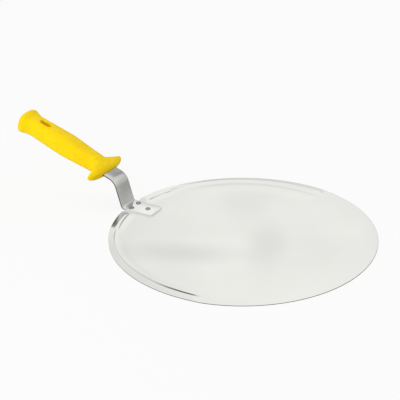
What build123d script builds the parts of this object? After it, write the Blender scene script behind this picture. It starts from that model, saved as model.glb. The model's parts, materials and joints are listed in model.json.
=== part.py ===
from build123d import *
import os
from math import cos, degrees, radians, sin, sqrt, tan

# Pizza peel: a round steel blade with a pressed half rim, a cranked flat-bar shank that is
# riveted on top of it, and a plastic grip moulded over the shank's tang.
# Millimetres. The origin is the centre of the blade's underside, +Z is up and the grip
# points along -X.

# ---- Blade: round sheet, flat at the front, with a low rim round its rear half ----
blade_radius = 150.0
sheet_thickness = 0.8
rim_foot_width = 15.6        # blade's edge to the foot of the rim's slope
rim_slope_width = 5.5        # foot of the slope to the rim's crest
rim_rise = 0.9               # lift of the rim's flange over the flat
rim_draw_in = 2.6            # how far pressing pulls the flange's edge in, half way round
gap_draw_in = 1.2            # and beside the shank
rim_half_angle = 100.0       # rim's ends, on each side of the grip's direction
rim_end_run = 16.0           # length over which the rim fades out at its ends
rim_gap_side_run = 7.0       # length over which the rim fades out beside the shank

# ---- Shank: flat bar bent twice, its front end lying on the blade as a tab ----
bar_width = 25.0
bar_thickness = 2.0
tab_length = 39.6            # tab's end to the lower bend's corner
tab_corner_radius = 4.0
bar_overhang = 1.2           # lower bend's corner, out past the blade's edge
web_rise = 31.8              # lower bend's corner up to the upper bend's corner
web_lean = 17.0              # degrees from upright, away from the blade
lower_bend_radius = 4.0      # on the bar's middle line
upper_bend_radius = 9.0
leg_length = 15.2            # upper bend's corner to the grip's front face
grip_angle = 18.8            # degrees above the blade
shank_side_gap = 2.0         # flat left beside the tab before the rim starts

# ---- Tang: the narrowed end of the bar, inside the grip ----
shoulder_depth = 6.0         # how far the full bar width runs into the guard
tang_width = 14.0
tang_length = 78.0           # beyond the shoulders
anchor_hole_radius = 3.0     # holes that the moulding fills, so that the grip can't pull off
anchor_hole_spacing = 30.0
anchor_hole_inset = 14.0     # from the tang's end to the nearer hole

# ---- Rivets: three, low domed heads on top and flush closing heads underneath ----
rivet_radius = 1.6
rivet_head_radius = 3.0
rivet_head_height = 0.9
rivet_tail_radius = 2.3
rivet_clearance = 0.05
rivet_pair_spacing = 14.0    # across the tab
rivet_pair_inset = 9.7       # from the lower bend's corner
rivet_single_inset = 27.4

# ---- Grip: oval moulding with a winged guard and a flared butt ----
grip_length = 127.5          # guard's front face to the butt's end
guard_half_span = 32.0
guard_sweep = 3.6            # how far the guard's front falls back at its tips
guard_tip_length = 6.5       # along the grip
guard_tip_thickness = 8.8
guard_root_length = 20.5     # guard's front to where the grip starts
guard_root_thickness = 17.0
guard_fullest_share = 0.68   # share of the guard's length in front of its thickest place
nose_width = 22.0            # the grip's own front end, inside the guard
nose_thickness = 9.0
nose_inset = 4.0             # from the guard's front
neck_width = 22.8            # just behind the guard
neck_thickness = 20.8
palm_width = 27.8            # widest place, in the middle
palm_thickness = 24.6
waist_width = 24.8           # narrowest place, in front of the butt
waist_thickness = 23.2
waist_inset = 18.5           # from the butt's end
butt_width = 32.0
butt_thickness = 26.4
butt_inset = 6.0             # from the butt's end to its widest place
oval_fullness = 0.664        # 0.552 makes an ellipse, more makes it squarer

# ---- Hang hole: a slot through the grip, square to its axis ----
hang_hole_length = 15.0
hang_hole_width = 7.0
hang_hole_inset = 30.5       # from the butt's end to the slot's middle

# ---- How finely the grip's smooth surfaces are drawn ----
body_steps = 26
cap_steps = 6
guard_steps = 9
end_turn = 80.0              # degrees of curve before the small flat at a rounded end
cap_fullness = 0.5           # less makes the butt's end fuller
guard_tip_power = 8          # more makes the guard's tips blunter
guard_tip_cut = 0.985        # share of the tip's curve before its small flat

overcut = 5.0                # how far cutting tools run past what they cut

# ---- Places worked out from the sizes above ----
rim_foot_radius = blade_radius - rim_foot_width
rim_crest_radius = rim_foot_radius + rim_slope_width
gap_half_width = bar_width / 2 + shank_side_gap
bar_middle_height = sheet_thickness + bar_thickness / 2
tab_top_height = sheet_thickness + bar_thickness
lower_corner = Vector(-(blade_radius + bar_overhang), 0, bar_middle_height)
upper_corner = lower_corner + Vector(-web_rise * tan(radians(web_lean)), 0, web_rise)
grip_direction = Vector(-cos(radians(grip_angle)), 0, sin(radians(grip_angle)))
grip_normal = Vector(sin(radians(grip_angle)), 0, cos(radians(grip_angle)))
grip_front = upper_corner + grip_direction * leg_length
tang_start = shoulder_depth
tang_end = shoulder_depth + tang_length
# The grip's own frame: x along its axis from the guard's front face, z towards its top.
grip_frame = Plane(origin=grip_front, x_dir=grip_direction, z_dir=grip_normal)


def polar(radius, angle):
    """Point in plan at an angle in degrees from the grip's direction."""
    return (-radius * cos(radians(angle)), radius * sin(radians(angle)))


def rim_ring(lift):
    """Full ring of the rim's shape, from below the blade up to the rim's surface."""
    outer_radius = blade_radius + overcut
    with BuildPart() as ring:
        with BuildSketch(Plane.XZ):
            with BuildLine():
                Polyline(
                    (rim_foot_radius, -overcut),
                    (rim_foot_radius, lift),
                    (rim_crest_radius, lift + rim_rise),
                    (outer_radius, lift + rim_rise),
                    (outer_radius, -overcut),
                    close=True,
                )
            make_face()
        revolve(axis=Axis.Z)
    return ring.part


def ramp(lift, run):
    """Long block whose top climbs from the flat to the rim's height, starting at its x = 0."""
    reach = 2 * blade_radius
    with BuildPart() as block:
        with BuildSketch(Plane.XZ):
            with BuildLine():
                Polyline(
                    (0, -overcut),
                    (0, lift),
                    (run, lift + rim_rise),
                    (run, lift + rim_rise + overcut),
                    (reach, lift + rim_rise + overcut),
                    (reach, -overcut),
                    close=True,
                )
            make_face()
        extrude(amount=reach, both=True)
    return block.part


def rim_side(lift):
    """The rim on the +Y side, from the gap beside the shank to its faded end."""
    gap_ramp = Location((0, gap_half_width, 0), (0, 0, 90)) * ramp(lift, rim_gap_side_run)
    # The end's ramp runs back towards the grip, square to the radius at the rim's end.
    end_ramp = Location((0, 0, 0), (0, 0, -(rim_half_angle + 90))) * ramp(lift, rim_end_run)
    return rim_ring(lift) & gap_ramp & end_ramp


def press_form(lift):
    """Everything under the sheet's surface, with that surface lifted by a given height."""
    depth = lift + overcut
    base = Pos(0, 0, lift - depth / 2) * Cylinder(blade_radius + overcut, depth)
    side = rim_side(lift)
    return base + side + mirror(side, about=Plane.XZ)


def blade_outline():
    """The blade's edge in plan: a true circle, drawn in a little on each side of the rim."""
    gap_angle = degrees(gap_half_width / blade_radius)
    middle_angle = (gap_angle + rim_half_angle) / 2
    drawn_radius = blade_radius - rim_draw_in
    gap_radius = blade_radius - gap_draw_in
    with BuildSketch() as outline:
        with BuildLine():
            ThreePointArc(*(polar(gap_radius, angle) for angle in (-gap_angle, 0, gap_angle)))
            for side in (1, -1):
                ThreePointArc(
                    polar(gap_radius, side * gap_angle),
                    polar(drawn_radius, side * middle_angle),
                    polar(blade_radius, side * rim_half_angle),
                )
            ThreePointArc(*(polar(blade_radius, angle) for angle in (rim_half_angle, 180, -rim_half_angle)))
        make_face()
    return outline.sketch


def rivet_places():
    """The three rivets' places in plan: a pair across the tab and one nearer its end."""
    pair_x = lower_corner.X + rivet_pair_inset
    single_x = lower_corner.X + rivet_single_inset
    return [
        (pair_x, rivet_pair_spacing / 2),
        (pair_x, -rivet_pair_spacing / 2),
        (single_x, 0),
    ]


def rivet_solid(clearance):
    """One rivet standing on the blade's underside plane, larger all round by a clearance."""
    shaft_radius = rivet_radius + clearance
    tail_radius = rivet_tail_radius + clearance
    with BuildPart() as body:
        with BuildSketch(Plane.XZ):
            with BuildLine():
                Polyline(
                    (0, 0),
                    (tail_radius, 0),
                    (shaft_radius, rivet_tail_radius - rivet_radius),
                    (shaft_radius, tab_top_height),
                    (0, tab_top_height),
                    close=True,
                )
            make_face()
        revolve(axis=Axis.Z)
    return body.part


def rivet_head():
    """Low dome that sits on the tab."""
    cap_radius = (rivet_head_radius**2 + rivet_head_height**2) / (2 * rivet_head_height)
    centre_height = tab_top_height + rivet_head_height - cap_radius
    dome = Pos(0, 0, centre_height) * Sphere(cap_radius)
    above_tab = Pos(0, 0, tab_top_height + overcut / 2) * Cylinder(rivet_head_radius + overcut, overcut)
    return dome & above_tab


def rivets():
    """All three rivets, as separate solids."""
    one = rivet_solid(0) + rivet_head()
    return Compound([Pos(x, y, 0) * one for x, y in rivet_places()])


def rivet_holes():
    """What the rivets need cut out of the sheet and the tab."""
    hole = rivet_solid(rivet_clearance)
    return [Pos(x, y, 0) * hole for x, y in rivet_places()]


def blade():
    """Pressed sheet: the space between two equal surfaces, trimmed to the outline."""
    sheet = press_form(sheet_thickness) - press_form(0)
    trim = extrude(blade_outline(), sheet_thickness + rim_rise + overcut, both=True)
    return (sheet & trim) - rivet_holes()


def bar_body():
    """The bent bar at full width, from the tab's end to the shoulders in the guard."""
    tab_end = lower_corner + Vector(tab_length, 0, 0)
    bar_end = grip_front + grip_direction * tang_end
    with BuildPart() as bar:
        with BuildLine():
            FilletPolyline(
                tab_end, lower_corner, upper_corner, bar_end,
                radius=[lower_bend_radius, upper_bend_radius],
            )
        with BuildSketch(Plane(origin=tab_end, x_dir=(0, 1, 0), z_dir=(-1, 0, 0))):
            Rectangle(bar_width, bar_thickness)
        sweep()
    return bar.part


def tang_trim():
    """The two strips that come off the bar's sides to leave the tang."""
    strip_width = (bar_width - tang_width) / 2 + overcut
    strip_length = tang_length + overcut
    x = tang_start + strip_length / 2
    y = tang_width / 2 + strip_width / 2
    strip = Box(strip_length, strip_width, bar_thickness + overcut)
    return [grip_frame.location * Pos(x, side * y, 0) * strip for side in (1, -1)]


def anchor_holes():
    """The tang's holes, which the moulding fills."""
    last = tang_end - anchor_hole_inset
    hole = Cylinder(anchor_hole_radius, bar_thickness + overcut)
    return [grip_frame.location * Pos(x, 0, 0) * hole for x in (last - anchor_hole_spacing, last)]


def bar_blank():
    """The bar with its tang cut to width, before any holes."""
    body = bar_body() - tang_trim()
    tab_corners = body.edges().filter_by(Axis.Z).group_by(Axis.X)[-1]
    return fillet(tab_corners, tab_corner_radius)


def shank():
    """The finished bar."""
    return bar_blank() - rivet_holes() - anchor_holes()


def oval(section_plane, thickest, low_reach, high_reach, thickness):
    """Full oval on a plane: its thickest place along the plane's x, and its reach each way."""
    half_thickness = thickness / 2
    quarters = []
    for reach, up in ((high_reach, 1), (-low_reach, 1), (-low_reach, -1), (high_reach, -1)):
        corners = [
            (thickest + reach, 0),
            (thickest + reach, up * oval_fullness * half_thickness),
            (thickest + oval_fullness * reach, up * half_thickness),
            (thickest, up * half_thickness),
        ]
        if reach * up < 0:
            corners.reverse()
        quarters.append(Bezier(*corners))
    return section_plane * make_face(quarters)


def ease(start, end, share):
    """Value between start and end that leaves and arrives level."""
    return start + (end - start) * share**2 * (3 - 2 * share)


def grip_size(x):
    """The grip's width and thickness at a place along its axis."""
    waist_x = grip_length - waist_inset
    stations = [
        (0, nose_width, nose_thickness),
        (guard_root_length, neck_width, neck_thickness),
        ((guard_root_length + waist_x) / 2, palm_width, palm_thickness),
        (waist_x, waist_width, waist_thickness),
        (grip_length - butt_inset, butt_width, butt_thickness),
    ]
    for (start, *start_size), (end, *end_size) in zip(stations, stations[1:]):
        if x <= end:
            share = (x - start) / (end - start)
            return [ease(a, b, share) for a, b in zip(start_size, end_size)]
    return [butt_width, butt_thickness]


def grip_section(x, width, thickness):
    """Oval across the grip's axis."""
    plane = Plane(origin=(x, 0, 0), x_dir=(0, 1, 0), z_dir=(1, 0, 0))
    return oval(plane, 0, width / 2, width / 2, thickness)


def grip_body():
    """The part that the hand holds, up to the widest place of its butt."""
    reach = grip_length - butt_inset - nose_inset
    places = [nose_inset + reach * step / body_steps for step in range(body_steps + 1)]
    return loft([grip_section(x, *grip_size(x)) for x in places])


def butt_cap():
    """The butt's rounded end."""
    sections = []
    for step in range(cap_steps + 1):
        angle = radians(end_turn * step / cap_steps)
        x = grip_length - butt_inset + butt_inset * sin(angle) / sin(radians(end_turn))
        shrink = cos(angle) ** cap_fullness
        sections.append(grip_section(x, butt_width * shrink, butt_thickness * shrink))
    return loft(sections)


def guard():
    """Winged guard, thick at the grip and thin at its tips."""
    sections = []
    for step in range(-guard_steps, guard_steps + 1):
        share = sin(radians(end_turn * step / guard_steps)) / sin(radians(end_turn))
        span = abs(share)
        shrink = sqrt(1 - (guard_tip_cut * span) ** guard_tip_power)
        length = ease(guard_root_length, guard_tip_length, span)
        thickness = ease(guard_root_thickness, guard_tip_thickness, span)
        front_reach = length * guard_fullest_share
        rear_reach = length - front_reach
        thickest = guard_sweep * span**2 + front_reach
        plane = Plane(origin=(0, share * guard_half_span, 0), x_dir=(1, 0, 0), z_dir=(0, -1, 0))
        sections.append(oval(plane, thickest, front_reach * shrink, rear_reach * shrink, thickness * shrink))
    return loft(sections)


def hang_hole():
    """Slot-shaped cutter through the grip."""
    with BuildPart() as slot:
        with BuildSketch(Plane.XY.offset(-palm_thickness)):
            with Locations((grip_length - hang_hole_inset, 0)):
                SlotOverall(hang_hole_length, hang_hole_width)
        extrude(amount=2 * palm_thickness)
    return slot.part


def grip():
    """Moulding over the tang: it also fills the tang's anchor holes."""
    moulding = grip_body() + butt_cap() + guard() - hang_hole()
    return grip_frame.location * moulding - (bar_blank() - anchor_holes())


os.makedirs("parts", exist_ok=True)
nodes = {"blade": blade(), "shank": shank(), "rivets": rivets(), "grip": grip()}
for name, shape in nodes.items():
    export_step(shape, f"parts/{name}.step")
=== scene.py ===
import json
import logging
from collections.abc import Callable, Iterator
from contextlib import contextmanager
from dataclasses import dataclass
from enum import Enum
from functools import reduce
from math import atan2, copysign, cos, degrees, hypot, pi, radians, sin, sqrt, tan

import bmesh
import bpy
from mathutils import Matrix, Vector

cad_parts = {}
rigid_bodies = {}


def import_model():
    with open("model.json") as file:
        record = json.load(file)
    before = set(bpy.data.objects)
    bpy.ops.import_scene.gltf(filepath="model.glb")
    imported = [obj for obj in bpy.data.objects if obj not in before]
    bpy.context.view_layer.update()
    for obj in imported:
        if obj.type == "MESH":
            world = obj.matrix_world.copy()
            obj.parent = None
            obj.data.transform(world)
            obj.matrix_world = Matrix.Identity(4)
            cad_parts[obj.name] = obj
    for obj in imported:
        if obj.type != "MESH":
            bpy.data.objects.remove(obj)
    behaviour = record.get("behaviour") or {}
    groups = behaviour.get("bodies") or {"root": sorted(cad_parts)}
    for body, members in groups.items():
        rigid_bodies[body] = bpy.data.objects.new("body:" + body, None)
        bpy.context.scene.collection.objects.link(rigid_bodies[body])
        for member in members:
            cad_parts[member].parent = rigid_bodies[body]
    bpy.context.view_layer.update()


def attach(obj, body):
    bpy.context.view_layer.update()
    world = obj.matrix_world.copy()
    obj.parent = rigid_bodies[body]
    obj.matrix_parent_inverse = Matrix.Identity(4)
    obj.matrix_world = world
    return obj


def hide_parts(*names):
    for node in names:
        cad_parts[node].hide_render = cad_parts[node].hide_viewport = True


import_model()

# Pizza peel: a round steel blade with a pressed half rim, a cranked flat-bar shank riveted on
# top of it, and a yellow plastic grip moulded over the shank's tang. Everything is in metres,
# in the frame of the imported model: the origin is the centre of the blade's underside, +Z is up
# and the grip points along -X.

MM = 0.001
log = logging.getLogger("pizza_peel")

Colour = tuple[float, float, float]
Place = tuple[float, float, float]
Size = tuple[float, float]
Range = tuple[float, float]
Station = tuple[float, float, float]
Socket = bpy.types.NodeSocket
Input = Socket | tuple[float, ...] | float

MOST_FINISHES = 4           # finishes that one piece can have
CLOSE = 0.1 * MM            # places nearer than this count as one
MERGED = 0.001 * MM         # corners nearer than this are merged
FACING = 0.9                # a face looks a given way when that much of its normal does
STEEP = 0.5                 # and is steep when less than that much of its normal looks up or down
NOISE_RANGE = (0.3, 0.7)    # where nearly all values of a noise lie
CLOUD_RANGE = (0.35, 0.65)  # the same for broad, soft clouds
HALF_WAY = 0.5              # how far smoothing moves a corner towards its neighbours' middle


class Part(Enum):
    """What an edit picks: corners, edges or faces."""

    CORNERS = "VERT"
    EDGES = "EDGE"
    FACES = "FACE"


class Join(Enum):
    """What is made of two closed objects that overlap."""

    CUT = "DIFFERENCE"
    WELD = "UNION"


class Turn(Enum):
    """Which way the bar is bent, seen from its near side with the grip on the left."""

    UP = -1
    BACK = 1


# ---------------------------------------------------------------------------------------
# Bench tools: what every piece is modelled with
# ---------------------------------------------------------------------------------------


def clear_selection() -> None:
    """Deselects every object."""
    bpy.ops.object.select_all(action="DESELECT")


def take_up(piece: bpy.types.Object) -> None:
    """Makes a piece the only selected object and the active one.

    Args:
        piece: The piece to take up.
    """
    clear_selection()
    bpy.context.view_layer.objects.active = piece
    piece.select_set(True)


def new_piece(name: str, primitive: Callable[..., object], **settings: object) -> bpy.types.Object:
    """Adds a primitive, names it and fixes its place into its mesh.

    Args:
        name: The piece's name.
        primitive: The operator that adds it.
        **settings: The operator's settings.

    Returns:
        The new object, at the origin and unturned.
    """
    clear_selection()
    primitive(**settings)
    piece = bpy.context.object
    piece.name = name
    piece.data.name = name
    bpy.ops.object.transform_apply(location=True, rotation=True, scale=True)
    return piece


@contextmanager
def editing(piece: bpy.types.Object, part: Part = Part.FACES) -> Iterator[None]:
    """Opens a piece in edit mode with nothing selected, and closes it at the end.

    Args:
        piece: The object to edit.
        part: What the edit picks.
    """
    take_up(piece)
    bpy.ops.object.mode_set(mode="EDIT")
    bpy.ops.mesh.select_mode(type=part.value)
    bpy.ops.mesh.select_all(action="DESELECT")
    yield
    bpy.ops.object.mode_set(mode="OBJECT")


def pick(piece: bpy.types.Object, part: Part, test: Callable[[object], bool]) -> None:
    """Selects the corners, edges or faces of the piece in edit mode that pass a test.

    Args:
        piece: The object in edit mode.
        part: What to pick.
        test: Says of one element whether it is picked.
    """
    mesh = bmesh.from_edit_mesh(piece.data)
    elements = {Part.CORNERS: mesh.verts, Part.EDGES: mesh.edges, Part.FACES: mesh.faces}[part]
    for element in [element for element in elements if test(element)]:
        element.select_set(True)
    mesh.select_flush_mode()
    bmesh.update_edit_mesh(piece.data)


def middle_of(edge: bmesh.types.BMEdge) -> Vector:
    """Middle point of an edge."""
    return (edge.verts[0].co + edge.verts[1].co) / 2


@dataclass(frozen=True)
class Section:
    """One cross-section of a drawn-out piece: its middle, and its size along X, Y and Z."""

    middle: Place
    size: Place


def pull(run: Vector | list[float]) -> None:
    """Draws the selected face straight out."""
    bpy.ops.mesh.extrude_region_move(TRANSFORM_OT_translate={"value": run})


def draw_out(sections: list[Section]) -> None:
    """Draws the selected face out through a row of sections.

    Args:
        sections: The sections in order. The first is the face as it is now.
    """
    for here, there in zip(sections, sections[1:]):
        ratios = [after / before for before, after in zip(here.size, there.size)]
        pull([after - before for before, after in zip(here.middle, there.middle)])
        bpy.ops.transform.resize(value=ratios, center_override=there.middle)


def round_edges(
    piece: bpy.types.Object, test: Callable[[bmesh.types.BMEdge], bool], radius: float, steps: int
) -> None:
    """Rounds the edges of a piece that pass a test.

    Args:
        piece: The piece, in object mode.
        test: Says of an edge whether it is rounded.
        radius: How far from the edge the rounding starts.
        steps: Faces across the rounding.
    """
    with editing(piece, Part.EDGES):
        pick(piece, Part.EDGES, test)
        bpy.ops.mesh.bevel(offset=radius, segments=steps, affect="EDGES")


def shape(piece: bpy.types.Object, move: Callable[[Vector], Vector]) -> None:
    """Moves every corner of a piece by a rule.

    Args:
        piece: The object to shape, in object mode.
        move: Gives a corner's new place from its old one.
    """
    for corner in piece.data.vertices:
        corner.co = move(corner.co.copy())
    piece.data.update()


def finish_with(piece: bpy.types.Object, kind: str, **settings: object) -> None:
    """Adds a modifier with its settings and applies it.

    Args:
        piece: The object to finish.
        kind: The modifier's type.
        **settings: The modifier's settings by name.
    """
    take_up(piece)
    modifier = piece.modifiers.new(kind.title(), kind)
    for name, value in settings.items():
        setattr(modifier, name, value)
    bpy.ops.object.modifier_apply(modifier=modifier.name)


def combine(piece: bpy.types.Object, how: Join, other: bpy.types.Object) -> None:
    """Cuts another closed object out of a piece or welds it on, and removes the other object."""
    finish_with(piece, "BOOLEAN", operation=how.value, solver="EXACT", object=other)
    bpy.data.objects.remove(other)


def close_up(piece: bpy.types.Object) -> None:
    """Merges double corners and turns every face outwards.

    Args:
        piece: A piece without holes in its skin.
    """
    with editing(piece):
        bpy.ops.mesh.select_all(action="SELECT")
        bpy.ops.mesh.remove_doubles(threshold=MERGED)
        bpy.ops.mesh.normals_make_consistent(inside=False)


def smooth_up_to(piece: bpy.types.Object, angle: float) -> None:
    """Shades a piece smooth, except over edges sharper than an angle in degrees."""
    take_up(piece)
    bpy.ops.object.shade_smooth_by_angle(angle=radians(angle))


def soft_ramp(distance: float, rounding: float) -> float:
    """Distance past a corner, zero before it, with the corner rounded.

    Args:
        distance: How far past the corner.
        rounding: Half the width of the rounded stretch.

    Returns:
        The eased distance.
    """
    if abs(distance) >= rounding:
        return max(0.0, distance)
    return (distance + rounding) ** 2 / (4 * rounding)


def soft_step(distance: float, width: float, rounding: float) -> float:
    """Share from 0 to 1 up a straight slope of a width, its corners rounded as soft_ramp does."""
    return max(0.0, soft_ramp(distance, rounding) - soft_ramp(distance - width, rounding)) / width


def ease(start: float, end: float, share: float) -> float:
    """Value between two others that leaves and arrives level."""
    return start + (end - start) * share**2 * (3 - 2 * share)


def eased_step(distance: float, run: float) -> float:
    """Share from 0 to 1 over a run that starts and ends level."""
    return ease(0.0, 1.0, min(1.0, max(0.0, distance / run)))


def mark_faces(piece: bpy.types.Object, choose: Callable[[bpy.types.MeshPolygon], int]) -> None:
    """Gives each face of a piece the number of its finish.

    Args:
        piece: The object, in object mode.
        choose: Gives a face's finish, 0 for the main one.
    """
    for _ in range(MOST_FINISHES):
        piece.data.materials.append(None)
    for face in piece.data.polygons:
        face.material_index = int(choose(face))


def deliver(piece: bpy.types.Object, finishes: list[bpy.types.Material], slot: str, *nodes: str) -> None:
    """Dresses a finished piece and puts it in the place of its CAD nodes.

    Args:
        piece: The finished object.
        finishes: Its materials, the main one first.
        slot: The record's material slot for its finish; not used.
        *nodes: The CAD nodes it stands for.
    """
    chosen = [face.material_index for face in piece.data.polygons]
    piece.data.materials.clear()
    for finish in finishes:
        piece.data.materials.append(finish)
    for face, number in zip(piece.data.polygons, chosen):
        face.material_index = number
    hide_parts(*nodes)
    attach(piece, "root")
    log.info("%s: %d faces", piece.name, len(piece.data.polygons))


# ---------------------------------------------------------------------------------------
# Finishes
# ---------------------------------------------------------------------------------------


class NodeBoard:
    """Lays out and joins the shader nodes of a material or of the world."""

    def __init__(self, tree: bpy.types.ShaderNodeTree) -> None:
        """Starts from an empty tree."""
        self.tree = tree
        tree.nodes.clear()

    def add(self, kind: str, inputs: dict[str, Input] | None = None, **settings: object) -> bpy.types.Node:
        """Adds a node.

        Args:
            kind: The node's type, without its ShaderNode prefix.
            inputs: Input values, or output sockets to join them to, by input name.
            **settings: The node's own settings.

        Returns:
            The new node.
        """
        node = self.tree.nodes.new("ShaderNode" + kind)
        for name, value in settings.items():
            setattr(node, name, value)
        for name, value in (inputs or {}).items():
            self.feed(node.inputs[name], value)
        return node

    def feed(self, socket: Socket, value: Input) -> None:
        """Sets an input, or joins an output to it.

        Args:
            socket: The input.
            value: Its value, or the output to join to it.
        """
        if isinstance(value, bpy.types.NodeSocket):
            self.tree.links.new(value, socket)
        else:
            socket.default_value = value

    def math(self, operation: str, *values: Input, kind: str = "Math", result: str = "Value") -> Socket:
        """Adds a Math or Vector Math node.

        Args:
            operation: The node's operation.
            *values: Its inputs, numbers, vectors or sockets.
            kind: Math or VectorMath.
            result: Name of the output to give.

        Returns:
            The result's socket.
        """
        node = self.add(kind, operation=operation)
        for socket, value in zip(node.inputs, values):
            self.feed(socket, value)
        return node.outputs[result]

    def spread(self, value: Input, low: float, high: float, out_low: float, out_high: float) -> Socket:
        """Maps a value from one range to another, smoothly and without overshoot.

        Args:
            value: The value to map.
            low: Where the range starts.
            high: Where the range ends.
            out_low: The result up to its start.
            out_high: The result from its end on.

        Returns:
            The result's socket.
        """
        ends = {"From Min": low, "From Max": high, "To Min": out_low, "To Max": out_high}
        node = self.add("MapRange", {"Value": value, **ends}, interpolation_type="SMOOTHSTEP")
        return node.outputs["Result"]

    def blend(self, share: Input, first: Input, second: Input) -> Socket:
        """Mixes two colours.

        Args:
            share: Share of the second colour.
            first: The colour at a share of 0.
            second: The colour at a share of 1.

        Returns:
            The mixed colour.
        """
        node = self.add("Mix", {"Factor": share}, data_type="RGBA")
        ends = [socket for socket in node.inputs if socket.type == "RGBA"]
        for socket, value in zip(ends, (first, second)):
            self.feed(socket, value)
        return next(socket for socket in node.outputs if socket.type == "RGBA")

    def noise(self, place: Input, size: float, detail: float = 2.0, roughness: float = 0.5) -> Socket:
        """Adds soft noise whose lumps have a size, and gives its value."""
        settings = {"Scale": 1 / size, "Detail": detail, "Roughness": roughness}
        return self.add("TexNoise", {"Vector": place, **settings}).outputs["Fac"]

    def bump(self, height: Socket, depth: float, under: Socket | None = None) -> Socket:
        """Adds a bump, over another one if there is one.

        Args:
            height: The form, from 0 to 1.
            depth: How high the form's 1 stands.
            under: The normal of the bump below it.

        Returns:
            The new normal.
        """
        settings = {"Height": height, "Strength": 1.0, "Distance": depth}
        if under is not None:
            settings["Normal"] = under
        return self.add("Bump", settings).outputs["Normal"]

    def show(self, shader: bpy.types.Node, target: str = "Material") -> None:
        """Joins the last shader to the output of a material or of the world."""
        self.add("Output" + target, {"Surface": shader.outputs[0]})


def new_material(name: str) -> tuple[bpy.types.Material, NodeBoard]:
    """Makes a material with an empty board.

    Args:
        name: The material's name.

    Returns:
        The material and the board for its nodes.
    """
    material = bpy.data.materials.new(name)
    material.use_nodes = True
    return material, NodeBoard(material.node_tree)


def rgba(colour: Colour) -> tuple[float, float, float, float]:
    """Colour with full alpha."""
    return (*colour, 1.0)


BLACK = rgba((0.0, 0.0, 0.0))
WHITE = rgba((1.0, 1.0, 1.0))


@dataclass(frozen=True)
class ShadePatch:
    """A broad, soft-edged patch of painted shade on a sheet, where its mirror of the studio is darker. Its
    turn is in degrees.
    """

    x: float
    y: float
    half_length: float
    half_width: float
    turn: float
    strength: float


@dataclass(frozen=True)
class SteelFinish:
    """Rolled stainless steel with a fine grain, soft polish clouds, slight waviness, and broad patches of
    painted shade.

    Lengths are in metres. The grain is fine along Y and drawn out along X and Z.
    """

    name: str
    colour: Colour
    shade: Colour
    roughness: float
    roughness_spread: float
    grain_pitch: float
    grain_depth: float
    cloud_size: float
    wave_size: float
    wave_depth: float
    grain_stretch: float = 50.0
    shade_patches: tuple[ShadePatch, ...] = ()

    def with_shade_patches(self, board: NodeBoard, place: Socket, colour: Socket) -> Socket:
        """Darkens a colour with painted shade where the shade patches lie.

        Args:
            board: The board to add the nodes to.
            place: The object coordinates.
            colour: The colour without the painted shade.

        Returns:
            The colour with them.
        """
        # Each patch blends the colour towards black: painted shade, not a mark on the steel
        for shade_patch in self.shade_patches:
            patch = board.add("Mapping", {"Vector": place}, vector_type="TEXTURE")
            board.feed(patch.inputs["Location"], (shade_patch.x, shade_patch.y, 0.0))
            board.feed(patch.inputs["Rotation"], (0.0, 0.0, radians(shade_patch.turn)))
            board.feed(patch.inputs["Scale"], (shade_patch.half_length, shade_patch.half_width, 1.0))
            distance = board.math("LENGTH", patch.outputs[0], kind="VectorMath")
            colour = board.blend(board.spread(distance, 0.0, 1.0, shade_patch.strength, 0.0), colour, BLACK)
        return colour

    def build(self) -> bpy.types.Material:
        """Makes the material.

        Returns:
            The new material.
        """
        material, board = new_material(self.name)
        place = board.add("TexCoord").outputs["Object"]
        across = 1 / self.grain_pitch
        along = across / self.grain_stretch
        grain_space = board.add("Mapping", {"Vector": place, "Scale": (along, across, along)}).outputs[0]
        grain = board.noise(grain_space, size=1.0, detail=3.0, roughness=0.6)
        clouds = board.noise(place, self.cloud_size, roughness=0.45)
        waves = board.noise(place, self.wave_size, detail=1.0, roughness=0.4)
        cloudiness = board.spread(clouds, *CLOUD_RANGE, 0.0, 1.0)
        colour = self.with_shade_patches(board, place, board.blend(cloudiness, rgba(self.shade), rgba(self.colour)))
        streaks = board.spread(grain, *NOISE_RANGE, -self.roughness_spread, self.roughness_spread)
        roughness = board.math("ADD", self.roughness, streaks)
        normal = board.bump(grain, self.grain_depth, under=board.bump(waves, self.wave_depth))
        look = {"Base Color": colour, "Metallic": 1.0, "Roughness": roughness, "Normal": normal}
        board.show(board.add("BsdfPrincipled", look))
        return material


@dataclass(frozen=True)
class PlasticFinish:
    """Semi-gloss moulded plastic with a fine sparked texture and faint flow clouds."""

    name: str
    colour: Colour
    shade: Colour
    roughness: float
    roughness_spread: float
    sheen: float
    glow: float
    glow_depth: float
    glow_colour: Colour
    texture_pitch: float
    texture_depth: float
    cloud_size: float

    def build(self) -> bpy.types.Material:
        """Makes the material.

        Returns:
            The new material.
        """
        material, board = new_material(self.name)
        place = board.add("TexCoord").outputs["Object"]
        flow = board.noise(place, self.cloud_size)
        texture = board.noise(place, self.texture_pitch)
        smooth, rough = self.roughness - self.roughness_spread, self.roughness + self.roughness_spread
        cloudiness = board.spread(flow, *NOISE_RANGE, 0.0, 1.0)
        look = {
            "Base Color": board.blend(cloudiness, rgba(self.shade), rgba(self.colour)),
            "Roughness": board.spread(flow, *NOISE_RANGE, rough, smooth),
            "Normal": board.bump(texture, self.texture_depth),
            "Specular IOR Level": self.sheen,
            "Subsurface Weight": self.glow,
            "Subsurface Radius": self.glow_colour,
            "Subsurface Scale": self.glow_depth,
        }
        board.show(board.add("BsdfPrincipled", look))
        return material


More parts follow.
